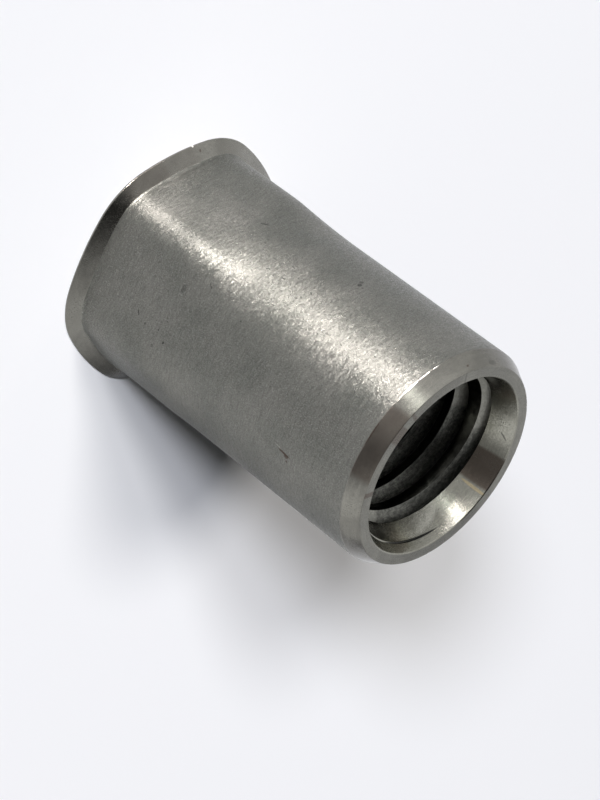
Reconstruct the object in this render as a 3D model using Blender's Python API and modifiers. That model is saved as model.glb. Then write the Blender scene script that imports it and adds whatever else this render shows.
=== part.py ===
# Rivet nut with a part-hexagonal shank, a small flared head and an internal M10 thread.
# Blender script, in metres with +Z up.
# The nut stands on its head: the head's face lies at z = 0 and the open round end is on top.
# One corner of the hexagon points along +X.
import math

import bmesh
import bpy

MM = 0.001

# Outside
overall_length = 21.5 * MM
wall_thickness = 1.5 * MM         # of the barrel and the flats, outside the thread's major diameter
hex_corner_radius = 3.7 * MM
hex_length = 4.4 * MM             # full hexagon, next to the head
blend_length = 4.5 * MM           # hexagon fading into the round barrel
neck_radius = 0.12 * MM           # fillet between the head and the shank
head_overhang = 0.85 * MM         # of the head's flats past the shank's
head_corner_radius = 5.6 * MM
head_thickness = 0.65 * MM
head_rim = 0.1 * MM               # straight edge round the head
end_chamfer_length = 0.92 * MM
end_chamfer_depth = 0.51 * MM

# Inside
thread_major = 10.0 * MM
thread_depth = 0.7 * MM           # of the crests, inside the major diameter
thread_root_clearance = 0.165 * MM  # of the sharp root, outside the major diameter
thread_pitch = 1.5 * MM
thread_length = 11.2 * MM         # from the open end to the plain bore
thread_angle = math.radians(60)
thread_start = math.radians(219)  # where the groove's root meets the plane of the open end, from +X
mouth_clearance = 0.185 * MM      # of the countersink's rim, outside the thread's root
countersink_angle = math.radians(21)  # slope of the countersink, from the axis
crush_clearance = 0.14 * MM       # of the plain bore below the thread, outside the thread's root
step_angle = math.radians(60)     # slope of the step from the thread to the plain bore, from the axis
head_bore_chamfer = 0.25 * MM

# Fineness
side_count = 96                   # facets round the outside, a multiple of 12
bore_side_count = 48              # facets round the bore, and in each turn of the thread
blend_steps = 6
neck_steps = 3
sharp_edge_angle = math.radians(25)
cut_margin = 1.0 * MM             # how far the cutters pass through the faces they open
thread_overlap = 0.2 * MM         # how far the thread cutter reaches into the bore
runout_turns = 0.61               # how far it winds on past each end of the thread, into the open
merge_distance = 0.001 * MM

barrel_radius = thread_major / 2 + wall_thickness
head_radius = barrel_radius + head_overhang
end_radius = barrel_radius - end_chamfer_depth
minor_radius = thread_major / 2 - thread_depth
root_radius = thread_major / 2 + thread_root_clearance
mouth_radius = root_radius + mouth_clearance
crush_radius = root_radius + crush_clearance
thread_bottom = overall_length - thread_length


def clear_scene():
    for item in list(bpy.data.objects):
        bpy.data.objects.remove(item, do_unlink=True)


def make_collection(name):
    collection = bpy.data.collections.new(name)
    bpy.context.scene.collection.children.link(collection)
    return collection


def make_steel():
    steel = bpy.data.materials.new("satin_steel")
    steel.use_nodes = True
    shader = steel.node_tree.nodes["Principled BSDF"]
    shader.inputs["Base Color"].default_value = (0.42, 0.41, 0.39, 1.0)
    shader.inputs["Metallic"].default_value = 1.0
    shader.inputs["Roughness"].default_value = 0.42
    return steel


def hexagon_reach(flat_radius, corner_radius, angle):
    # Distance from the axis to a hexagon with rounded corners, the first corner at angle 0.
    # A corner radius equal to the flat radius gives a circle.
    sector = math.pi / 3
    from_corner = (angle + sector / 2) % sector - sector / 2
    centre = (flat_radius - corner_radius) / math.cos(sector / 2)
    tangent_x = centre + corner_radius * math.cos(sector / 2)
    tangent_y = corner_radius * math.sin(sector / 2)
    if abs(from_corner) >= math.atan2(tangent_y, tangent_x):
        return flat_radius / math.cos(sector / 2 - abs(from_corner))
    across = centre * math.sin(from_corner)
    return centre * math.cos(from_corner) + math.sqrt(corner_radius ** 2 - across ** 2)


def head_stations():
    # Each station is a height, a flat radius and a corner radius.
    flare_angle = math.atan2(head_overhang, head_thickness - head_rim)
    neck_end = head_thickness + neck_radius * math.tan(flare_angle / 2)
    stations = [(0.0, head_radius, head_corner_radius), (head_rim, head_radius, head_corner_radius)]
    for step in range(neck_steps, -1, -1):
        turn = flare_angle * step / neck_steps
        out = neck_radius * (1 - math.cos(turn))
        height = neck_end - neck_radius * math.sin(turn)
        stations.append((height, barrel_radius + out, hex_corner_radius + out))
    return stations


def blend_stations():
    start = head_thickness + hex_length
    stations = []
    for step in range(blend_steps + 1):
        part = step / blend_steps
        ease = part * part * (3 - 2 * part)
        corner = hex_corner_radius + (barrel_radius - hex_corner_radius) * ease
        stations.append((start + blend_length * part, barrel_radius, corner))
    return stations


def end_stations():
    chamfer_start = overall_length - end_chamfer_length
    return [(chamfer_start, barrel_radius, barrel_radius), (overall_length, end_radius, end_radius)]


def loft_outside(name, collection):
    # A skin through rounded hexagons and circles, closed at both ends.
    mesh = bmesh.new()
    rings = []
    for height, flat, corner in head_stations() + blend_stations() + end_stations():
        ring = []
        for side in range(side_count):
            angle = 2 * math.pi * side / side_count
            reach = hexagon_reach(flat, corner, angle)
            ring.append(mesh.verts.new((reach * math.cos(angle), reach * math.sin(angle), height)))
        rings.append(ring)
    for lower, upper in zip(rings, rings[1:]):
        for side in range(side_count):
            after = (side + 1) % side_count
            mesh.faces.new((lower[side], lower[after], upper[after], upper[side]))
    mesh.faces.new(list(reversed(rings[0])))
    mesh.faces.new(rings[-1])
    data = bpy.data.meshes.new(name)
    mesh.to_mesh(data)
    mesh.free()
    data.shade_smooth()
    data.set_sharp_from_angle(angle=sharp_edge_angle)
    item = bpy.data.objects.new(name, data)
    collection.objects.link(item)
    return item


def bore_profile():
    # Radius and height down the outer side of the bore cutter, top to bottom.
    countersink_slope = math.tan(countersink_angle)
    countersink_depth = (mouth_radius - minor_radius) / countersink_slope
    exit_step = (crush_radius - minor_radius) / math.tan(step_angle)
    return [
        (0.0, overall_length + cut_margin),
        (mouth_radius + countersink_slope * cut_margin, overall_length + cut_margin),
        (minor_radius, overall_length - countersink_depth),
        (minor_radius, thread_bottom),
        (crush_radius, thread_bottom - exit_step),
        (crush_radius, head_bore_chamfer),
        (crush_radius + head_bore_chamfer + cut_margin, -cut_margin),
        (0.0, -cut_margin),
    ]


def turn_bore_cutter(collection):
    mesh = bpy.data.meshes.new("bore_cutter")
    points = [(radius, 0.0, height) for radius, height in bore_profile()]
    mesh.from_pydata(points, [(i, i + 1) for i in range(len(points) - 1)], [])
    cutter = bpy.data.objects.new("bore_cutter", mesh)
    collection.objects.link(cutter)
    screw = cutter.modifiers.new("turn", "SCREW")
    screw.axis = "Z"
    screw.steps = bore_side_count
    screw.render_steps = bore_side_count
    screw.use_merge_vertices = True
    screw.merge_threshold = merge_distance
    return cutter


def thread_profile():
    # One groove in section: wide inside the bore and sharp at the thread's root.
    inner_radius = minor_radius - thread_overlap
    half_width = (root_radius - inner_radius) * math.tan(thread_angle / 2)
    return [(inner_radius, half_width), (root_radius, 0.0), (inner_radius, -half_width)]


def wind_thread_cutter(collection):
    # The groove wound into a right-handed coil, from the plain bore out through the countersink.
    turns = thread_length / thread_pitch + 2 * runout_turns
    steps = math.ceil(turns * bore_side_count)
    coil_angle = 2 * math.pi * steps / bore_side_count
    coil_height = thread_pitch * steps / bore_side_count
    coil_bottom = overall_length + runout_turns * thread_pitch - coil_height
    guide_mesh = bpy.data.meshes.new("thread_guide")
    points = [(radius, 0.0, coil_bottom + height) for radius, height in thread_profile()]
    guide_mesh.from_pydata(points, [(0, 1), (1, 2), (2, 0)], [])
    guide = bpy.data.objects.new("thread_guide", guide_mesh)
    collection.objects.link(guide)
    screw = guide.modifiers.new("wind", "SCREW")
    screw.axis = "Z"
    screw.angle = coil_angle
    screw.screw_offset = coil_height
    screw.steps = steps
    screw.render_steps = steps
    bpy.context.view_layer.update()
    wound = guide.evaluated_get(bpy.context.evaluated_depsgraph_get())
    coil = bpy.data.meshes.new_from_object(wound)
    bpy.data.objects.remove(guide, do_unlink=True)
    coil.name = "thread_cutter"
    closed = bmesh.new()
    closed.from_mesh(coil)
    bmesh.ops.holes_fill(closed, edges=closed.edges, sides=3)
    bmesh.ops.recalc_face_normals(closed, faces=closed.faces)
    closed.to_mesh(coil)
    closed.free()
    cutter = bpy.data.objects.new("thread_cutter", coil)
    cutter.rotation_euler.z = thread_start + 2 * math.pi * runout_turns - coil_angle
    collection.objects.link(cutter)
    return cutter


def cut_with(item, cutter):
    cutter.hide_render = True
    cutter.display_type = "WIRE"
    cut = item.modifiers.new(cutter.name, "BOOLEAN")
    cut.operation = "DIFFERENCE"
    cut.solver = "EXACT"
    cut.object = cutter


def build():
    clear_scene()
    parts = make_collection("rivet_nut_parts")
    cutters = make_collection("cutters")
    nut = loft_outside("rivet_nut", parts)
    nut.data.materials.append(make_steel())
    for cutter in (turn_bore_cutter(cutters), wind_thread_cutter(cutters)):
        cut_with(nut, cutter)


build()
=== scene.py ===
import math

import bmesh
import bpy
from mathutils import Matrix, Vector


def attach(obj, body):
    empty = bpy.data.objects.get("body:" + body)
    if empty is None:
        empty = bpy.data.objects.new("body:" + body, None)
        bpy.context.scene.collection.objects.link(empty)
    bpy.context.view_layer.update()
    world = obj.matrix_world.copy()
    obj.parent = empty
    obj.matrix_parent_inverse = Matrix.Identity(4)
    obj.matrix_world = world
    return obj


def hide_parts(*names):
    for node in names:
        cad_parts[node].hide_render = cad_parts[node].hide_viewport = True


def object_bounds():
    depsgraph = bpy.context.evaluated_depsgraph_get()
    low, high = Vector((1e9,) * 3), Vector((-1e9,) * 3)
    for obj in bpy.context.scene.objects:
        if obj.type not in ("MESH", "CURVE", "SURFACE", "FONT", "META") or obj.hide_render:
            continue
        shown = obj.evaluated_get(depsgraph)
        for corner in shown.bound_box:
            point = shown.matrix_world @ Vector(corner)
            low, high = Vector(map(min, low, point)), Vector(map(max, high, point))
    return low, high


# A satin steel rivet nut standing on its head, seen as if it lay on its side.
# Sizes are in millimetres and turned into metres where the meshes are made.
mm = 0.001
micrometre = 0.000001

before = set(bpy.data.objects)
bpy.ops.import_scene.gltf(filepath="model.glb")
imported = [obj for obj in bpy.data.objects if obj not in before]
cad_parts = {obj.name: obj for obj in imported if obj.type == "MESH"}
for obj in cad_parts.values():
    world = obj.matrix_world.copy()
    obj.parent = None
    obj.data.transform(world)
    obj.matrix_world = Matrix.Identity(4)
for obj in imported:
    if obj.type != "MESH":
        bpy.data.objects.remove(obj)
cadLow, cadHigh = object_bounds()
print("frame loaded")

nutTop = cadHigh.z / mm       # the open end
headFlat = cadHigh.y / mm     # the head's radius over its flats

# Camera, placed and rolled so that the nut lies across the picture
cameraSetup = {
    "place": (0.074084, -0.093268, 0.085557),
    "look": (-0.5192, 0.6747, -0.5247),
    "rollDegrees": 127.7,
    "lens": 118.79,
    "sensorWidth": 36.0,
    "nearest": 0.005,
    "farthest": 10.0,
}


def addCamera():
    data = bpy.data.cameras.new("camera")
    data.lens = cameraSetup["lens"]
    data.sensor_width = cameraSetup["sensorWidth"]
    data.clip_start = cameraSetup["nearest"]
    data.clip_end = cameraSetup["farthest"]
    camera = bpy.data.objects.new("camera", data)
    bpy.context.scene.collection.objects.link(camera)
    aim = Vector(cameraSetup["look"]).to_track_quat("-Z", "Y").to_matrix()
    roll = Matrix.Rotation(math.radians(cameraSetup["rollDegrees"]), 3, "Z")
    camera.matrix_world = Matrix.Translation(cameraSetup["place"]) @ (aim @ roll).to_4x4()
    bpy.context.scene.camera = camera


addCamera()
print("camera placed")


# Node helpers: a value may be a number, a tuple or another node's output.

def addNode(tree, kind, **values):
    made = tree.nodes.new(kind)
    for name, value in values.items():
        setattr(made, name, value)
    return made


def feed(tree, socket, value):
    if isinstance(value, (int, float, tuple)):
        socket.default_value = value
    else:
        tree.links.new(value, socket)


def calc(tree, operation, *values):
    made = addNode(tree, "ShaderNodeMath", operation=operation)
    for socket, value in zip(made.inputs, values):
        feed(tree, socket, value)
    return made.outputs[0]


def hypotenuse(tree, first, second):
    squares = calc(tree, "ADD", calc(tree, "MULTIPLY", first, first), calc(tree, "MULTIPLY", second, second))
    return calc(tree, "SQRT", squares)


def scaled(tree, vector, share):
    made = addNode(tree, "ShaderNodeVectorMath", operation="SCALE")
    feed(tree, made.inputs[0], vector)
    feed(tree, made.inputs["Scale"], share)
    return made.outputs[0]


def blendColors(tree, share, first, second):
    made = addNode(tree, "ShaderNodeMix", data_type="RGBA")
    feed(tree, made.inputs["Factor"], share)
    feed(tree, made.inputs["A"], first)
    feed(tree, made.inputs["B"], second)
    return made.outputs["Result"]


def blendValues(tree, share, first, second):
    made = addNode(tree, "ShaderNodeMix", data_type="FLOAT")
    feed(tree, made.inputs["Factor"], share)
    feed(tree, made.inputs["A"], first)
    feed(tree, made.inputs["B"], second)
    return made.outputs["Result"]


def ramp(tree, value, low, high, outLow=0.0, outHigh=1.0):
    made = addNode(tree, "ShaderNodeMapRange", interpolation_type="SMOOTHSTEP")
    for socket, given in zip(made.inputs, (value, low, high, outLow, outHigh)):
        feed(tree, socket, given)
    return made.outputs[0]


# Studio: a pale floor and room, strips that only the steel mirrors, and soft lights for the floor alone
studio = {
    "floorColor": (0.90, 0.904, 0.915),
    "floorHalf": 1.5,                # metres
    "floorRoughness": 0.9,
    "floorLightDistance": 5.0,       # metres
    "skyColor": (0.98, 0.99, 1.0),
    "seenStrength": 0.93,            # for what the camera sees
    "floorStrength": 0.03,           # for what lights the floor
    "glossStrength": 1.0,            # for what the steel mirrors, changed by the patches below
    "darkest": 0.03,
    "patchCore": 0.35,               # share of a patch's reach that has the full change
}

# A painted shadow on the floor, in mm, standing in for the nut's shadow that the steel mirrors: darker only
# where the steel mirrors it; it fades from core to edge.
mirroredPaintedShadow = {"x": 2, "y": 25, "halfX": 15, "halfY": 24, "share": 0.6, "core": 0.4, "edge": 1.25}

# Softly edged patches of the room that the steel mirrors, in degrees
skyPatches = {
    "ceiling": {"azimuth": -40, "elevation": 66, "reach": 34, "change": -0.97},
    "window": {"azimuth": -118, "elevation": 46, "reach": 34, "change": 0.75},
    "cameraSide": {"azimuth": -18, "elevation": 12, "reach": 34, "change": -0.6},
    "leftGlow": {"azimuth": 28, "elevation": 3, "reach": 25, "change": 0.5},
    "shadowSide": {"azimuth": 96, "elevation": -6, "reach": 32, "change": -0.85},
    "headShade": {"azimuth": -125, "elevation": 62, "reach": 30, "change": -0.8},
}

# Upright strips: distance in metres, lowest and highest elevation and width in degrees
strips = {
    "keyStrip": {
        "azimuth": -82, "distance": 0.4, "low": 0.5, "high": 9, "widthDegrees": 10,
        "strength": 160.0, "color": (1.0, 0.94, 0.93),
    },
    "wideStrip": {
        "azimuth": -93, "distance": 0.42, "low": 0.5, "high": 6, "widthDegrees": 40,
        "strength": 30.0, "color": (1.0, 0.94, 0.93),
    },
    "upperStrip": {
        "azimuth": -85, "distance": 0.4, "low": 15, "high": 44, "widthDegrees": 11,
        "strength": 3.3, "color": (0.92, 0.97, 0.93),
    },
}

# Round lights: each gives the floor a share of full brightness, and its spread in degrees softens the shadow
floorLights = {
    "lowLight": {
        "azimuth": -60, "elevation": 22, "spread": 4.5, "share": 0.375, "color": (0.96, 0.985, 1.07),
    },
    "middleLight": {
        "azimuth": -70, "elevation": 29.5, "spread": 4.5, "share": 0.295, "color": (1.0, 1.0, 1.02),
    },
    "highLight": {
        "azimuth": -87, "elevation": 51, "spread": 6.5, "share": 0.325, "color": (1.03, 1.0, 0.97),
    },
}


def makePaper():
    paper = bpy.data.materials.new("paleFloor")
    paper.use_nodes = True
    tree = paper.node_tree
    shader = tree.nodes["Principled BSDF"]
    shader.inputs["Roughness"].default_value = studio["floorRoughness"]
    shader.inputs["Specular IOR Level"].default_value = 0.0
    patch = mirroredPaintedShadow
    place = addNode(tree, "ShaderNodeSeparateXYZ")
    tree.links.new(addNode(tree, "ShaderNodeTexCoord").outputs["Object"], place.inputs[0])
    fromX = calc(tree, "SUBTRACT", place.outputs[0], patch["x"] * mm)
    fromY = calc(tree, "SUBTRACT", place.outputs[1], patch["y"] * mm)
    far = hypotenuse(tree, calc(tree, "DIVIDE", fromX, patch["halfX"] * mm),
                     calc(tree, "DIVIDE", fromY, patch["halfY"] * mm))
    # Painted shadow: the floor turns darker here only in the steel's reflections
    mirrored = addNode(tree, "ShaderNodeLightPath").outputs["Is Glossy Ray"]
    share = ramp(tree, far, patch["core"], patch["edge"], patch["share"], 0.0)
    dark = calc(tree, "MULTIPLY", share, mirrored)
    pale = (*studio["floorColor"], 1)
    tree.links.new(blendColors(tree, dark, pale, (0.0, 0.0, 0.0, 1)), shader.inputs["Base Color"])
    return paper


def addFloor():
    half = studio["floorHalf"]
    corners = [(-half, -half, 0), (half, -half, 0), (half, half, 0), (-half, half, 0)]
    mesh = bpy.data.meshes.new("floor")
    mesh.from_pydata(corners, [], [(0, 1, 2, 3)])
    mesh.materials.append(makePaper())
    floor = bpy.data.objects.new("floor", mesh)
    bpy.context.scene.collection.objects.link(floor)


def skyDirection(azimuth, elevation):
    flat = math.cos(math.radians(elevation))
    return (flat * math.cos(math.radians(azimuth)), flat * math.sin(math.radians(azimuth)),
            math.sin(math.radians(elevation)))


def addWorld():
    # Even for the camera and the floor; the steel mirrors a room with darker and brighter patches.
    world = bpy.data.worlds.new("studioWorld")
    bpy.context.scene.world = world
    world.use_nodes = True
    tree = world.node_tree
    ground = tree.nodes["Background"]
    ground.inputs["Color"].default_value = (*studio["skyColor"], 1)
    direction = addNode(tree, "ShaderNodeTexCoord").outputs["Generated"]
    room = studio["glossStrength"]
    for patch in skyPatches.values():
        facing = addNode(tree, "ShaderNodeVectorMath", operation="DOT_PRODUCT")
        tree.links.new(direction, facing.inputs[0])
        facing.inputs[1].default_value = skyDirection(patch["azimuth"], patch["elevation"])
        edge = math.cos(math.radians(patch["reach"]))
        core = math.cos(math.radians(patch["reach"] * studio["patchCore"]))
        share = ramp(tree, facing.outputs["Value"], edge, core)
        room = calc(tree, "ADD", room, calc(tree, "MULTIPLY", share, patch["change"]))
    room = calc(tree, "MAXIMUM", room, studio["darkest"])
    path = addNode(tree, "ShaderNodeLightPath").outputs
    level = blendValues(tree, path["Is Glossy Ray"], studio["floorStrength"], room)
    level = blendValues(tree, path["Is Camera Ray"], level, studio["seenStrength"])
    tree.links.new(level, ground.inputs["Strength"])


def linkLight(name, data, strength, area, place, turn):
    data.energy = strength * math.pi * area
    light = bpy.data.objects.new(name, data)
    light.location = place
    light.rotation_euler = turn
    light.visible_camera = False
    bpy.context.scene.collection.objects.link(light)
    return light


def addStrip(name, setup):
    # Faces the nut; the floor doesn't take its light.
    azimuth = math.radians(setup["azimuth"])
    distance = setup["distance"]
    low = distance * math.tan(math.radians(setup["low"]))
    high = distance * math.tan(math.radians(setup["high"]))
    data = bpy.data.lights.new(name, "AREA")
    data.shape = "RECTANGLE"
    data.size = 2 * distance * math.tan(math.radians(setup["widthDegrees"] / 2))
    data.size_y = high - low
    place = (distance * math.cos(azimuth), distance * math.sin(azimuth), (low + high) / 2)
    turn = (math.pi / 2, 0, azimuth + math.pi / 2)
    data.color = setup["color"]
    strip = linkLight(name, data, setup["strength"], data.size * data.size_y, place, turn)
    strip.visible_diffuse = False


def addFloorLight(name, setup):
    # Faces the nut; the steel doesn't mirror it.
    distance = studio["floorLightDistance"]
    radius = distance * math.tan(math.radians(setup["spread"]))
    data = bpy.data.lights.new(name, "AREA")
    data.shape = "DISK"
    data.size = 2 * radius
    data.color = setup["color"]
    place = Vector(skyDirection(setup["azimuth"], setup["elevation"])) * distance
    turn = place.to_track_quat("Z", "Y").to_euler()
    slant = math.sin(math.radians(setup["elevation"]))
    strength = setup["share"] * distance ** 2 / (radius ** 2 * slant)
    light = linkLight(name, data, strength, math.pi * radius ** 2, place, turn)
    light.visible_glossy = False


addFloor()
addWorld()
for stripName, stripSetup in strips.items():
    addStrip(stripName, stripSetup)
for lightName, lightSetup in floorLights.items():
    addFloorLight(lightName, lightSetup)
print("studio ready")


# Shader groups
textureSetup = {
    "detail": 2.0,               # of the grain's and the lines' noise
    "middle": 0.5,               # of a noise's or a cell's values
    "cloudLow": 0.3,             # noise levels at which a cloud is fully dark and fully light
    "cloudHigh": 0.7,
}


def newGroup(name, inputs, outputs):
    tree = bpy.data.node_groups.new(name, "ShaderNodeTree")
    for label, start in inputs:
        kind = "NodeSocketVector" if isinstance(start, tuple) else "NodeSocketFloat"
        socket = tree.interface.new_socket(name=label, in_out="INPUT", socket_type=kind)
        socket.default_value = start
    for label in outputs:
        kind = "NodeSocketVector" if label == "Normal" else "NodeSocketFloat"
        tree.interface.new_socket(name=label, in_out="OUTPUT", socket_type=kind)
    return tree, tree.nodes.new("NodeGroupInput").outputs, tree.nodes.new("NodeGroupOutput").inputs


def useGroup(tree, name, **values):
    made = addNode(tree, "ShaderNodeGroup", node_tree=bpy.data.node_groups[name])
    for label, value in values.items():
        feed(tree, made.inputs[label], value)
    return made.outputs


def buildPlaceGroup():
    # Where a point lies on the nut: degrees round the axis, height and radius in mm, and a unit direction.
    tree, _, out = newGroup("nutPlace", [], ["Around", "Height", "Radius", "East", "North"])
    place = addNode(tree, "ShaderNodeTexCoord").outputs["Object"]
    parts = addNode(tree, "ShaderNodeSeparateXYZ")
    tree.links.new(place, parts.inputs[0])
    x, y, z = parts.outputs
    radius = hypotenuse(tree, x, y)
    feed(tree, out["Around"], calc(tree, "DEGREES", calc(tree, "ARCTAN2", y, x)))
    feed(tree, out["Height"], calc(tree, "DIVIDE", z, mm))
    feed(tree, out["Radius"], calc(tree, "DIVIDE", radius, mm))
    feed(tree, out["East"], calc(tree, "DIVIDE", x, radius))
    feed(tree, out["North"], calc(tree, "DIVIDE", y, radius))


def buildGrainGroup():
    # Sandy grain: its size in mm and its depth in micrometres give a height in metres.
    tree, given, out = newGroup("sandyGrain", [("Size", 0.08), ("Depth", 2.0)], ["Height", "Speckle"])
    noise = addNode(tree, "ShaderNodeTexNoise", noise_dimensions="3D")
    noise.inputs["Detail"].default_value = textureSetup["detail"]
    tree.links.new(addNode(tree, "ShaderNodeTexCoord").outputs["Object"], noise.inputs["Vector"])
    feed(tree, noise.inputs["Scale"], calc(tree, "DIVIDE", 1 / mm, given["Size"]))
    height = calc(tree, "MULTIPLY", noise.outputs[0], given["Depth"])
    feed(tree, out["Height"], calc(tree, "MULTIPLY", height, micrometre))
    feed(tree, out["Speckle"], noise.outputs[0])


def buildLinesGroup():
    # Turning lines round the axis: spacing in mm, depth in micrometres, and how often a line breaks.
    tree, given, out = newGroup(
        "turnedLines",
        [("Spacing", 0.1), ("Depth", 1.0), ("Breaks", 3.0)],
        ["Height", "Tone"])
    place = useGroup(tree, "nutPlace")
    across = calc(tree, "ADD", place["Height"], place["Radius"])
    vector = addNode(tree, "ShaderNodeCombineXYZ")
    feed(tree, vector.inputs[0], calc(tree, "MULTIPLY", place["East"], given["Breaks"]))
    feed(tree, vector.inputs[1], calc(tree, "MULTIPLY", place["North"], given["Breaks"]))
    feed(tree, vector.inputs[2], calc(tree, "DIVIDE", across, given["Spacing"]))
    noise = addNode(tree, "ShaderNodeTexNoise", noise_dimensions="3D")
    noise.inputs["Scale"].default_value = 1.0
    noise.inputs["Detail"].default_value = textureSetup["detail"]
    tree.links.new(vector.outputs[0], noise.inputs["Vector"])
    height = calc(tree, "MULTIPLY", noise.outputs[0], given["Depth"])
    feed(tree, out["Height"], calc(tree, "MULTIPLY", height, micrometre))
    feed(tree, out["Tone"], noise.outputs[0])


def buildCloudGroup():
    # Slow changes of tone over the surface, with patches of the given size in mm.
    tree, given, out = newGroup("cloudyTone", [("Size", 3.0), ("Detail", 3.0)], ["Tone"])
    noise = addNode(tree, "ShaderNodeTexNoise", noise_dimensions="3D")
    tree.links.new(addNode(tree, "ShaderNodeTexCoord").outputs["Object"], noise.inputs["Vector"])
    feed(tree, noise.inputs["Scale"], calc(tree, "DIVIDE", 1 / mm, given["Size"]))
    feed(tree, noise.inputs["Detail"], given["Detail"])
    tone = ramp(tree, noise.outputs[0], textureSetup["cloudLow"], textureSetup["cloudHigh"])
    feed(tree, out["Tone"], tone)


def buildFacetGroup():
    # Tiny facets, longer round the axis, each tipped its own way: length and width in mm, and the tilt.
    tree, given, out = newGroup(
        "tippedFacets",
        [("Length", 0.2), ("Width", 0.1), ("Tilt", 0.1), ("Normal", (0.0, 0.0, 1.0))],
        ["Normal"])
    place = useGroup(tree, "nutPlace")
    turns = calc(tree, "DIVIDE", place["Radius"], given["Length"])
    vector = addNode(tree, "ShaderNodeCombineXYZ")
    feed(tree, vector.inputs[0], calc(tree, "MULTIPLY", place["East"], turns))
    feed(tree, vector.inputs[1], calc(tree, "MULTIPLY", place["North"], turns))
    feed(tree, vector.inputs[2], calc(tree, "DIVIDE", place["Height"], given["Width"]))
    cells = addNode(tree, "ShaderNodeTexVoronoi", voronoi_dimensions="3D")
    cells.inputs["Scale"].default_value = 1.0
    tree.links.new(vector.outputs[0], cells.inputs["Vector"])
    centred = addNode(tree, "ShaderNodeVectorMath", operation="SUBTRACT")
    tree.links.new(cells.outputs["Color"], centred.inputs[0])
    centred.inputs[1].default_value = (textureSetup["middle"],) * 3
    tipped = addNode(tree, "ShaderNodeVectorMath", operation="ADD")
    tree.links.new(scaled(tree, centred.outputs[0], given["Tilt"]), tipped.inputs[0])
    tree.links.new(given["Normal"], tipped.inputs[1])
    unit = addNode(tree, "ShaderNodeVectorMath", operation="NORMALIZE")
    tree.links.new(tipped.outputs[0], unit.inputs[0])
    tree.links.new(unit.outputs[0], out["Normal"])


def buildMarkGroup():
    # One mark at a chosen place: degrees round the axis, height, half its width and height, its lean and its
    # soft edge.
    tree, given, out = newGroup(
        "placedMark",
        [("Around", 0.0), ("Height", 0.0), ("Half Width", 0.2), ("Half Height", 0.2), ("Lean", 0.0),
         ("Edge", 0.3)],
        ["Mask"])
    place = useGroup(tree, "nutPlace")
    turn = calc(tree, "WRAP", calc(tree, "SUBTRACT", place["Around"], given["Around"]), 180.0, -180.0)
    turn = calc(tree, "RADIANS", turn)
    across = calc(tree, "MULTIPLY", turn, place["Radius"])
    up = calc(tree, "SUBTRACT", place["Height"], given["Height"])
    lean = calc(tree, "RADIANS", given["Lean"])
    sine = calc(tree, "SINE", lean)
    cosine = calc(tree, "COSINE", lean)
    wide = calc(tree, "ADD", calc(tree, "MULTIPLY", across, cosine), calc(tree, "MULTIPLY", up, sine))
    tall = calc(tree, "SUBTRACT", calc(tree, "MULTIPLY", up, cosine), calc(tree, "MULTIPLY", across, sine))
    wide = calc(tree, "DIVIDE", wide, given["Half Width"])
    tall = calc(tree, "DIVIDE", tall, given["Half Height"])
    far = hypotenuse(tree, wide, tall)
    low = calc(tree, "SUBTRACT", 1.0, given["Edge"])
    high = calc(tree, "ADD", 1.0, given["Edge"])
    feed(tree, out["Mask"], ramp(tree, far, low, high, 1.0, 0.0))


buildPlaceGroup()
buildGrainGroup()
buildLinesGroup()
buildCloudGroup()
buildFacetGroup()
buildMarkGroup()
print("shader groups built")

# Tints of the marks on the steel. The brown tint is real stains and nicks and also painted dark reflections,
# the dark tint real scratches and pits and also painted shade, the bright tint painted glints and
# highlights, and the pale tint painted light.
tints = {
    "brownStainAndReflection": (0.064, 0.041, 0.031),
    "dark": (0.035, 0.035, 0.032),
    "paintedGlint": (0.95, 0.9, 0.84),
    "yellow": (0.42, 0.34, 0.2),
    "pale": (0.6, 0.59, 0.53),
}

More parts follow.
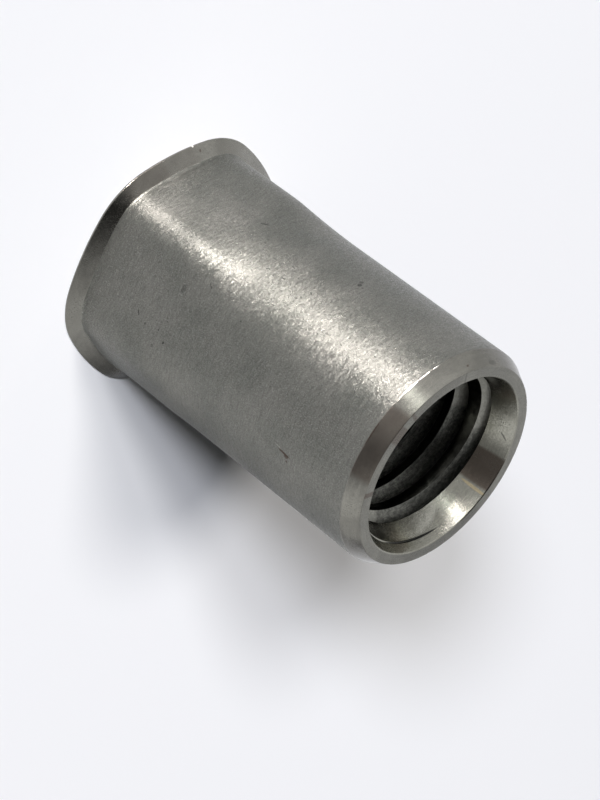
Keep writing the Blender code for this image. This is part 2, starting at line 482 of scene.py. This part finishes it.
# Steel finishes. Sizes and spacings are in mm, depths in micrometres. Speckle is the tone's unevenness and
# lineTone the lines' part in it, glints is the roughness's unevenness, and facetTilt tips the facets.
# A mark is degrees round the axis, height, half width, half height (mm), lean in degrees, tint and share.
finishes = {
    "shankSteel": {
        "dark": (0.158, 0.160, 0.142), "light": (0.205, 0.203, 0.182),
        "roughness": 0.40, "anisotropic": 0.8,
        "grainSize": 0.062, "grainDepth": 11.0, "lineSpacing": 0.1, "lineDepth": 6.0, "lineBreaks": 12.0,
        "cloudSize": 3.2, "speckle": 0.35, "lineTone": 0.8, "glints": 1.0,
        "facetLength": 0.17, "facetWidth": 0.08, "facetTilt": 0.16,
        "marks": (
            (-9, 16.25, 0.06, 0.42, -7, "brownStainAndReflection", 0.9), (-5.8, 16.5, 0.07, 0.07, 0, "brownStainAndReflection", 0.7),
            # The bright streak beside the brown scratch is a painted glint.
            (-8, 16.42, 0.11, 0.15, 0, "brownStainAndReflection", 0.7), (-10.5, 15.75, 0.035, 0.3, -7, "paintedGlint", 0.1),
            (-94.3, 6.8, 0.06, 0.24, 33, "dark", 0.65), (-21.3, 4.39, 0.04, 0.15, -60, "dark", 0.75),
            (-18.9, 5.06, 0.07, 0.06, 0, "dark", 0.6), (-20.5, 6.05, 0.05, 0.05, 0, "dark", 0.6),
            (-16.6, 6.63, 0.08, 0.06, 0, "dark", 0.8), (-26.6, 6.39, 0.05, 0.05, 0, "dark", 0.45),
            (-48.1, 10.43, 0.05, 0.05, 0, "dark", 0.6), (-52.6, 7.72, 0.05, 0.16, -40, "dark", 0.5),
            (-44.3, 6.41, 0.25, 0.14, 0, "dark", 0.3), (-12.1, 6.0, 0.1, 0.08, 0, "dark", 0.4),
            (-101, 13.4, 0.12, 0.1, 0, "dark", 0.5), (-98.7, 13.55, 0.14, 0.11, 0, "dark", 0.65),
            (-98.2, 13.8, 0.06, 0.06, 0, "dark", 0.5),
        ),
    },
    "headSteel": {
        "dark": (0.18, 0.174, 0.156), "light": (0.21, 0.204, 0.183),
        "roughness": 0.22, "anisotropic": 0.3,
        "grainSize": 0.07, "grainDepth": 4.0, "lineSpacing": 0.1, "lineDepth": 1.0, "lineBreaks": 3.0,
        "cloudSize": 2.0, "speckle": 0.3, "lineTone": 0.5, "glints": 0.3,
        "facetLength": 0.2, "facetWidth": 0.09, "facetTilt": 0.02,
        "marks": (
            # A painted glint on a nick at the rim.
            (-99.6, 0.05, 0.07, 0.08, 0, "paintedGlint", 1.0), (-103, 0.3, 0.05, 0.05, 0, "brownStainAndReflection", 0.7),
            # The two broad brown patches on the head are a painted dark reflection.
            (-80, 0.4, 2.6, 3.0, 0, "brownStainAndReflection", 0.12), (-72, 0.4, 1.4, 3.0, 0, "brownStainAndReflection", 0.15),
        ),
    },
    "endSteel": {
        "dark": (0.158, 0.153, 0.137), "light": (0.192, 0.186, 0.165),
        "roughness": 0.22, "anisotropic": 0.3,
        "grainSize": 0.06, "grainDepth": 3.0, "lineSpacing": 0.07, "lineDepth": 2.0, "lineBreaks": 3.0,
        "cloudSize": 1.2, "speckle": 0.4, "lineTone": 0.5, "glints": 0.2,
        "facetLength": 0.12, "facetWidth": 0.07, "facetTilt": 0.035,
        "marks": (
            # The broad brown patch across the chamfer is a painted dark reflection.
            (-41, 21, 2.06, 3.0, 0, "brownStainAndReflection", 0.5), (-44, 20.57, 0.65, 0.05, 0, "brownStainAndReflection", 0.7),
            # The bright dashes along the chamfer's edge are painted highlights.
            (-71, 20.6, 0.4, 0.04, 0, "paintedGlint", 0.8), (-79, 20.6, 0.35, 0.035, 0, "paintedGlint", 0.7),
            (-86, 20.6, 0.2, 0.03, 0, "paintedGlint", 0.6), (-101.3, 21.2, 0.07, 0.05, 0, "brownStainAndReflection", 0.75),
            (-119, 21.3, 0.3, 0.12, 0, "dark", 0.35),
        ),
    },
    "ringSteel": {
        "dark": (0.153, 0.149, 0.134), "light": (0.182, 0.178, 0.159),
        "roughness": 0.3, "anisotropic": 0.5,
        "grainSize": 0.07, "grainDepth": 6.0, "lineSpacing": 0.07, "lineDepth": 2.0, "lineBreaks": 3.0,
        "cloudSize": 1.0, "speckle": 0.5, "lineTone": 0.5, "glints": 0.3,
        "facetLength": 0.1, "facetWidth": 0.1, "facetTilt": 0.03,
        "marks": (
            (-50, 21.5, 0.5, 3.0, 0, "brownStainAndReflection", 0.5), (-14.6, 21.5, 0.15, 3.0, 0, "brownStainAndReflection", 0.6),
            (-98.4, 21.5, 0.05, 3.0, 0, "dark", 0.45), (-62, 21.5, 0.1, 3.0, 0, "brownStainAndReflection", 0.5),
            # The two broad dark patches are painted shade over one side of the ring.
            (86, 21.5, 4.6, 3.0, 0, "dark", 0.2), (92, 21.5, 2.9, 3.0, 0, "dark", 0.25),
        ),
    },
    "mouthSteel": {
        "dark": (0.225, 0.22, 0.19), "light": (0.27, 0.265, 0.232),
        "roughness": 0.24, "anisotropic": 0.3,
        "grainSize": 0.06, "grainDepth": 2.5, "lineSpacing": 0.07, "lineDepth": 2.0, "lineBreaks": 3.0,
        "cloudSize": 1.0, "speckle": 0.4, "lineTone": 0.5, "glints": 0.2,
        "facetLength": 0.12, "facetWidth": 0.07, "facetTilt": 0.035,
        "marks": (
            # The broad brown patch on the countersink is a painted dark reflection.
            (142, 21, 0.98, 3.0, 0, "brownStainAndReflection", 0.72), (129, 20.9, 0.09, 0.8, 0, "yellow", 0.6),
            # The broad pale patch is painted light.
            (165.9, 20.98, 0.04, 0.28, 45, "dark", 0.75), (78, 19.8, 2.3, 1.0, 0, "pale", 0.45),
            # The dark line where the groove ends is partly a scored tool mark, partly painted shadow of the
            # groove's edge.
            (72, 20.885, 2.0, 0.075, 2.7, "dark", 1.0),
        ),
    },
    "threadSteel": {
        "dark": (0.1, 0.1, 0.09), "light": (0.2, 0.198, 0.178),
        "roughness": 0.42, "anisotropic": 0.4,
        "grainSize": 0.06, "grainDepth": 10.0, "lineSpacing": 0.09, "lineDepth": 8.0, "lineBreaks": 8.0,
        "cloudSize": 0.2, "speckle": 0.8, "lineTone": 0.8, "glints": 0.3,
        "facetLength": 0.15, "facetWidth": 0.08, "facetTilt": 0.06,
        "marks": (
            # The broad pale patches on the thread are painted light.
            (190, 20, 2.4, 3.0, 0, "pale", 0.3), (46, 19.5, 1.3, 3.0, 0, "pale", 0.3),
            # The broad dark patch is painted shade; the dark line where the groove ends is partly a scored
            # tool mark, partly painted shadow of the groove's edge.
            (122, 20, 2.6, 3.0, 0, "dark", 0.3), (72, 20.885, 2.0, 0.1, 2.7, "dark", 0.95),
        ),
    },
    # Nearly black crests: painted shade inside the bore.
    "crestSteel": {
        "dark": (0.03, 0.03, 0.027), "light": (0.07, 0.07, 0.062),
        "roughness": 0.2, "anisotropic": 0.2,
        "grainSize": 0.06, "grainDepth": 3.0, "lineSpacing": 0.09, "lineDepth": 2.0, "lineBreaks": 4.0,
        "cloudSize": 0.5, "speckle": 0.4, "lineTone": 0.5, "glints": 0.2,
        "facetLength": 0.2, "facetWidth": 0.1, "facetTilt": 0.03,
        "marks": (),
    },
}

steelWork = {
    "markEdge": 0.12,            # soft edge of a mark, as a share of its half width
    "grainTurn": 0.25,           # turns the stretched gloss across the turning lines
    "cloudRoughness": 0.06,      # how much rougher the light clouds are
}


def makeSteel(name, look):
    material = bpy.data.materials.new(name)
    material.use_nodes = True
    tree = material.node_tree
    shader = tree.nodes["Principled BSDF"]
    shader.inputs["Metallic"].default_value = 1.0
    shader.inputs["Anisotropic"].default_value = look["anisotropic"]
    shader.inputs["Anisotropic Rotation"].default_value = steelWork["grainTurn"]
    grain = useGroup(tree, "sandyGrain", Size=look["grainSize"], Depth=look["grainDepth"])
    lines = useGroup(tree, "turnedLines", Spacing=look["lineSpacing"], Depth=look["lineDepth"],
                     Breaks=look["lineBreaks"])
    cloud = useGroup(tree, "cloudyTone", Size=look["cloudSize"])
    color = blendColors(tree, cloud["Tone"], (*look["dark"], 1), (*look["light"], 1))
    uneven = calc(tree, "ADD", grain["Speckle"], calc(tree, "MULTIPLY", lines["Tone"], look["lineTone"]))
    middle = textureSetup["middle"] * (1 + look["lineTone"])
    tone = calc(tree, "MULTIPLY", calc(tree, "SUBTRACT", uneven, middle), look["speckle"] * 2)
    color = scaled(tree, color, calc(tree, "ADD", tone, 1.0))
    for around, height, halfWidth, halfHeight, lean, tint, share in look["marks"]:
        values = {"Around": around, "Height": height, "Half Width": halfWidth, "Half Height": halfHeight,
                  "Lean": lean, "Edge": steelWork["markEdge"]}
        mask = useGroup(tree, "placedMark", **values)["Mask"]
        color = blendColors(tree, calc(tree, "MULTIPLY", mask, share), color, (*tints[tint], 1))
    tree.links.new(color, shader.inputs["Base Color"])
    glint = calc(tree, "SUBTRACT", textureSetup["middle"], grain["Speckle"])
    glint = calc(tree, "MULTIPLY", glint, look["glints"])
    rougher = calc(tree, "MULTIPLY", cloud["Tone"], steelWork["cloudRoughness"])
    roughness = calc(tree, "ADD", look["roughness"] - steelWork["cloudRoughness"] / 2, rougher)
    tree.links.new(calc(tree, "ADD", roughness, glint), shader.inputs["Roughness"])
    bump = addNode(tree, "ShaderNodeBump")
    bump.inputs["Strength"].default_value = 1.0
    bump.inputs["Distance"].default_value = 1.0
    feed(tree, bump.inputs["Height"], calc(tree, "ADD", grain["Height"], lines["Height"]))
    facets = useGroup(tree, "tippedFacets", Length=look["facetLength"], Width=look["facetWidth"],
                      Tilt=look["facetTilt"], Normal=bump.outputs["Normal"])
    tree.links.new(facets["Normal"], shader.inputs["Normal"])
    return material


steels = [makeSteel(name, look) for name, look in finishes.items()]
finishOrder = list(finishes)
print("steel finishes built")

# The nut's shape, in mm, with every edge softened
nutShape = {
    "overhang": 0.85, "hexCorner": 3.7, "hexLength": 4.4, "blendLength": 4.5, "blendSteps": 24,
    "headCorner": 5.6, "headThickness": 0.65, "headRim": 0.1, "neckRadius": 0.12,
    "chamferLength": 0.92, "chamferDepth": 0.51, "sides": 360,
    "shankBow": 1 / 20, "headBow": 1 / 14,       # curvature of the slightly bowed flats
    "headEdges": (0.04, 0.03, 0.12),             # how far each edge is softened: face, rim and neck
    "endEdges": (0.05, 0.03),                    # both edges of the chamfer
    "faceInset": 0.5, "ringInset": 0.25,         # how far the end faces start inside those edges
}
boreShape = {
    "crest": 4.3, "root": 5.165, "crestRounding": 0.05, "pitch": 1.5, "threadLength": 11.2,
    "startDegrees": 219, "mouth": 5.35, "mouthDegrees": 21, "plainBore": 5.305, "headChamfer": 0.25,
    "stepDegrees": 60, "flankDegrees": 30, "turnSides": 192, "runoutTurns": 0.61,
    "lipWidth": 0.04, "lipDepth": 0.05,          # tiny bevel at the mouth
    "topMargin": 0.12, "topFlare": 0.5,          # how far the cutter passes the open end and widens there
    "headMargin": 0.5,                           # how far it passes the head's face
    "overlap": 0.1,                              # how far the thread cutter reaches into the bore
    "crestStepDegrees": 12,                      # fineness of the crests' rounding
    "edges": (0.02, 0.02, 0.3, 0.08, 0.1, 0.03),  # softening down the bore, from the mouth to the head
}
tinyGap = 0.000001            # below this, in mm a shape is round and in metres two points are one
shankFlat = headFlat - nutShape["overhang"]


def hexagonReach(flat, corner, bow, angle):
    # Distance from the axis to a hexagon with rounded corners and bowed flats, the first corner at angle 0.
    sector = math.pi / 3
    fromCorner = abs((angle + sector / 2) % sector - sector / 2)
    tip = (flat - corner) / math.cos(sector / 2) + corner
    rise = tip - flat
    if rise < tinyGap:
        return flat
    back = 1 / bow - flat
    share = 1 - math.cos(sector / 2)
    centre = rise * (2 * back - rise) / (2 * (back * share - rise))
    joinX = back + centre * math.cos(sector / 2)
    joinY = centre * math.sin(sector / 2)
    lean = math.atan2(joinY, joinX)
    edge = math.atan2(math.sin(lean) / bow, math.cos(lean) / bow - back)
    fromFlat = sector / 2 - fromCorner
    if fromFlat <= edge:
        across = back * math.sin(fromFlat)
        return math.sqrt(1 / bow ** 2 - across ** 2) - back * math.cos(fromFlat)
    across = centre * math.sin(fromCorner)
    return centre * math.cos(fromCorner) + math.sqrt((tip - centre) ** 2 - across ** 2)


def softened(points, reaches, steps=4):
    # Rounds the inner points of a run, each over its own reach along both sides.
    run = [points[0]]
    for before, corner, after, reach in zip(points, points[1:], points[2:], reaches):
        ends = []
        for other in (before, after):
            share = reach / math.hypot(other[0] - corner[0], other[1] - corner[1])
            ends.append([c + (o - c) * share for c, o in zip(corner, other)])
        for step in range(steps + 1):
            part = step / steps
            run.append(tuple((1 - part) ** 2 * a + 2 * part * (1 - part) * b + part ** 2 * c
                             for a, b, c in zip(ends[0], corner, ends[1])))
    return run + [points[-1]]


def outsideRun():
    # Height, flat radius, corner radius and the flats' bow from the head's face up to the open end.
    shape = nutShape
    thick, rim, neck = shape["headThickness"], shape["headRim"], shape["neckRadius"]
    headCorner, hexCorner = shape["headCorner"], shape["hexCorner"]
    headBow, shankBow = shape["headBow"], shape["shankBow"]
    inset = shape["faceInset"]
    head = softened([
        (0.0, headFlat - inset, headCorner - inset, headBow),
        (0.0, headFlat, headCorner, headBow),
        (rim, headFlat, headCorner, headBow),
        (thick, shankFlat, hexCorner, shankBow),
        (thick + 2 * neck, shankFlat, hexCorner, shankBow),
    ], shape["headEdges"])
    start = thick + shape["hexLength"]
    blend = []
    for step in range(shape["blendSteps"] + 1):
        part = step / shape["blendSteps"]
        ease = part * part * (3 - 2 * part)
        corner = hexCorner + (shankFlat - hexCorner) * ease
        bow = shankBow + (1 / shankFlat - shankBow) * ease
        blend.append((start + shape["blendLength"] * part, shankFlat, corner, bow))
    endRadius = shankFlat - shape["chamferDepth"]
    ringStart = endRadius - shape["ringInset"]
    chamferStart = nutTop - shape["chamferLength"]
    end = softened([
        (chamferStart - inset, shankFlat, shankFlat, 0),
        (chamferStart, shankFlat, shankFlat, 0),
        (nutTop, endRadius, endRadius, 0),
        (nutTop, ringStart, ringStart, 0),
    ], shape["endEdges"])
    return head + blend + end


def linkObject(name, mesh):
    made = bpy.data.objects.new(name, mesh)
    bpy.context.scene.collection.objects.link(made)
    return made


def loftNut():
    mesh = bmesh.new()
    rings = []
    sides = nutShape["sides"]
    for height, flat, corner, bow in outsideRun():
        ring = []
        for side in range(sides):
            angle = 2 * math.pi * side / sides
            reach = hexagonReach(flat, corner, bow, angle) * mm
            ring.append(mesh.verts.new((reach * math.cos(angle), reach * math.sin(angle), height * mm)))
        rings.append(ring)
    for lower, upper in zip(rings, rings[1:]):
        for side in range(sides):
            after = (side + 1) % sides
            mesh.faces.new((lower[side], lower[after], upper[after], upper[side]))
    mesh.faces.new(list(reversed(rings[0])))
    mesh.faces.new(rings[-1])
    data = bpy.data.meshes.new("nutBlank")
    mesh.to_mesh(data)
    mesh.free()
    return linkObject("nutBlank", data)


def screwTurn(turns):
    # Radians wound for a number of turns, filled up to a whole facet.
    return 2 * math.pi * math.ceil(turns * boreShape["turnSides"]) / boreShape["turnSides"]


def screwCutter(name, points, closed, turns, rise, rotation):
    # Winds a run of (radius, height) points round the axis and returns a closed cutter.
    steps = math.ceil(turns * boreShape["turnSides"])
    mesh = bpy.data.meshes.new(name + "Profile")
    edges = [(i, i + 1) for i in range(len(points) - 1)]
    if closed:
        edges.append((len(points) - 1, 0))
    mesh.from_pydata([(radius * mm, 0.0, height * mm) for radius, height in points], edges, [])
    guide = linkObject(name + "Profile", mesh)
    screw = guide.modifiers.new("wind", "SCREW")
    screw.axis = "Z"
    screw.steps = steps
    screw.render_steps = steps
    screw.angle = screwTurn(turns)
    screw.screw_offset = rise * mm * steps / boreShape["turnSides"]
    screw.use_merge_vertices = rise == 0
    screw.merge_threshold = tinyGap
    bpy.context.view_layer.update()
    wound = bpy.data.meshes.new_from_object(guide.evaluated_get(bpy.context.evaluated_depsgraph_get()))
    bpy.data.objects.remove(guide, do_unlink=True)
    solid = bmesh.new()
    solid.from_mesh(wound)
    if closed:
        bmesh.ops.holes_fill(solid, edges=solid.edges, sides=len(points))
    bmesh.ops.recalc_face_normals(solid, faces=solid.faces)
    solid.to_mesh(wound)
    solid.free()
    cutter = linkObject(name, wound)
    cutter.rotation_euler.z = rotation - screwTurn(turns)
    cutter.hide_render = True
    return cutter


def boreRun():
    # Radius and height down the bore cutter's outer side.
    shape = boreShape
    crest, mouth, plain = shape["crest"], shape["mouth"], shape["plainBore"]
    bottom = nutTop - shape["threadLength"]
    slope = math.tan(math.radians(shape["mouthDegrees"]))
    step = math.tan(math.radians(shape["stepDegrees"]))
    above = nutTop + shape["topMargin"]
    below = shape["headMargin"]
    lip = shape["lipDepth"]
    run = softened([
        (mouth + shape["topFlare"], above),
        (mouth + shape["lipWidth"], nutTop),
        (mouth - slope * lip, nutTop - lip),
        (crest, nutTop - (mouth - crest) / slope),
        (crest, bottom),
        (plain, bottom - (plain - crest) / step),
        (plain, shape["headChamfer"]),
        (plain + shape["headChamfer"] + below, -below),
    ], shape["edges"])
    return [(0.0, above)] + run + [(0.0, -below)]


def grooveRun(middle):
    # One sharp groove in section, from its upper side to its lower, with the crests beside it rounded.
    shape = boreShape
    flankDegrees = shape["flankDegrees"]
    flank = math.tan(math.radians(flankDegrees))
    halfWidth = (shape["root"] - shape["crest"]) * flank
    rounding = shape["crestRounding"]
    across = halfWidth + rounding * flank
    side = [(shape["root"], 0.0)]
    for degrees in range(90 - flankDegrees, -1, -shape["crestStepDegrees"]):
        turn = math.radians(degrees)
        side.append((shape["crest"] + rounding * (1 - math.cos(turn)), across - rounding * math.sin(turn)))
    side.append((shape["crest"] - shape["overlap"], across))
    return [(r, middle + h) for r, h in side[::-1]] + [(r, middle - h) for r, h in side[1:]]


def cutNut():
    blank = loftNut()
    bore = screwCutter("boreCutter", boreRun(), False, 1, 0, 0)
    shape = boreShape
    turns = shape["threadLength"] / shape["pitch"] + 2 * shape["runoutTurns"]
    coilTop = nutTop + shape["runoutTurns"] * shape["pitch"]
    coilBottom = coilTop - shape["pitch"] * screwTurn(turns) / (2 * math.pi)
    coilEnd = math.radians(shape["startDegrees"]) + 2 * math.pi * shape["runoutTurns"]
    thread = screwCutter("threadCutter", grooveRun(coilBottom), True, turns, shape["pitch"], coilEnd)
    for cutter in (bore, thread):
        cut = blank.modifiers.new(cutter.name, "BOOLEAN")
        cut.operation = "DIFFERENCE"
        cut.solver = "EXACT"
        cut.object = cutter
    bpy.context.view_layer.update()
    mesh = bpy.data.meshes.new_from_object(blank.evaluated_get(bpy.context.evaluated_depsgraph_get()))
    for spare in (blank, bore, thread):
        bpy.data.objects.remove(spare, do_unlink=True)
    mesh.name = "rivetNutFine"
    return linkObject("rivetNutFine", mesh)


# How the faces are told apart and shaded
finishRules = {
    "facing": 0.9,               # how squarely the end faces look along the axis
    "chamferMargin": 0.03,       # mm, of the chamfer's finish past its edge
    "headMargin": 0.04,          # mm, of the shank's finish onto the head
    "mouthBand": 0.04,           # mm, either side of the countersink's cone
    "crestBand": 0.03,           # mm, outside the crests
    "firstGroove": 0.9,          # mm, least depth at which the groove ends the countersink
    "faceHeight": 0.01,          # mm, up to which a face belongs to the head's face
    "sharpDegrees": 28,
    "faceWeight": 50,
}


def faceFinish(center, normal):
    # Which finish a face has, by its place and the way it looks.
    rules = finishRules
    radius = math.hypot(center.x, center.y) / mm
    height = center.z / mm
    outward = (normal.x * center.x + normal.y * center.y) / (radius * mm) > 0
    endStart = nutTop - nutShape["chamferLength"] - rules["chamferMargin"]
    if normal.z > rules["facing"]:
        return "ringSteel"
    if height > endStart and outward:
        return "endSteel"
    if outward:
        return "headSteel" if height < nutShape["headThickness"] - rules["headMargin"] else "shankSteel"
    if height < rules["faceHeight"] and normal.z < -rules["facing"]:
        return "headSteel"
    slope = math.tan(math.radians(boreShape["mouthDegrees"]))
    depth = nutTop - height
    if abs(radius - boreShape["mouth"] + slope * depth) < rules["mouthBand"]:
        turn = boreShape["startDegrees"] - math.degrees(math.atan2(center.y, center.x))
        groove = boreShape["pitch"] * (turn % 360) / 360
        if groove < rules["firstGroove"]:
            groove += boreShape["pitch"]
        return "mouthSteel" if depth < groove else "crestSteel"
    return "crestSteel" if radius < boreShape["crest"] + rules["crestBand"] else "threadSteel"


def dressNut(nut):
    mesh = nut.data
    mesh.materials.clear()
    for steel in steels:
        mesh.materials.append(steel)
    for face in mesh.polygons:
        face.material_index = finishOrder.index(faceFinish(face.center, face.normal))
    mesh.shade_smooth()
    mesh.set_sharp_from_angle(angle=math.radians(finishRules["sharpDegrees"]))
    weigh = nut.modifiers.new("faceWeights", "WEIGHTED_NORMAL")
    weigh.keep_sharp = True
    weigh.weight = finishRules["faceWeight"]


nut = cutNut()
dressNut(nut)
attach(nut, "root")
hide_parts("rivet_nut")
print("nut shaped, faces:", len(nut.data.polygons))

bpy.context.scene.view_settings.view_transform = "Standard"
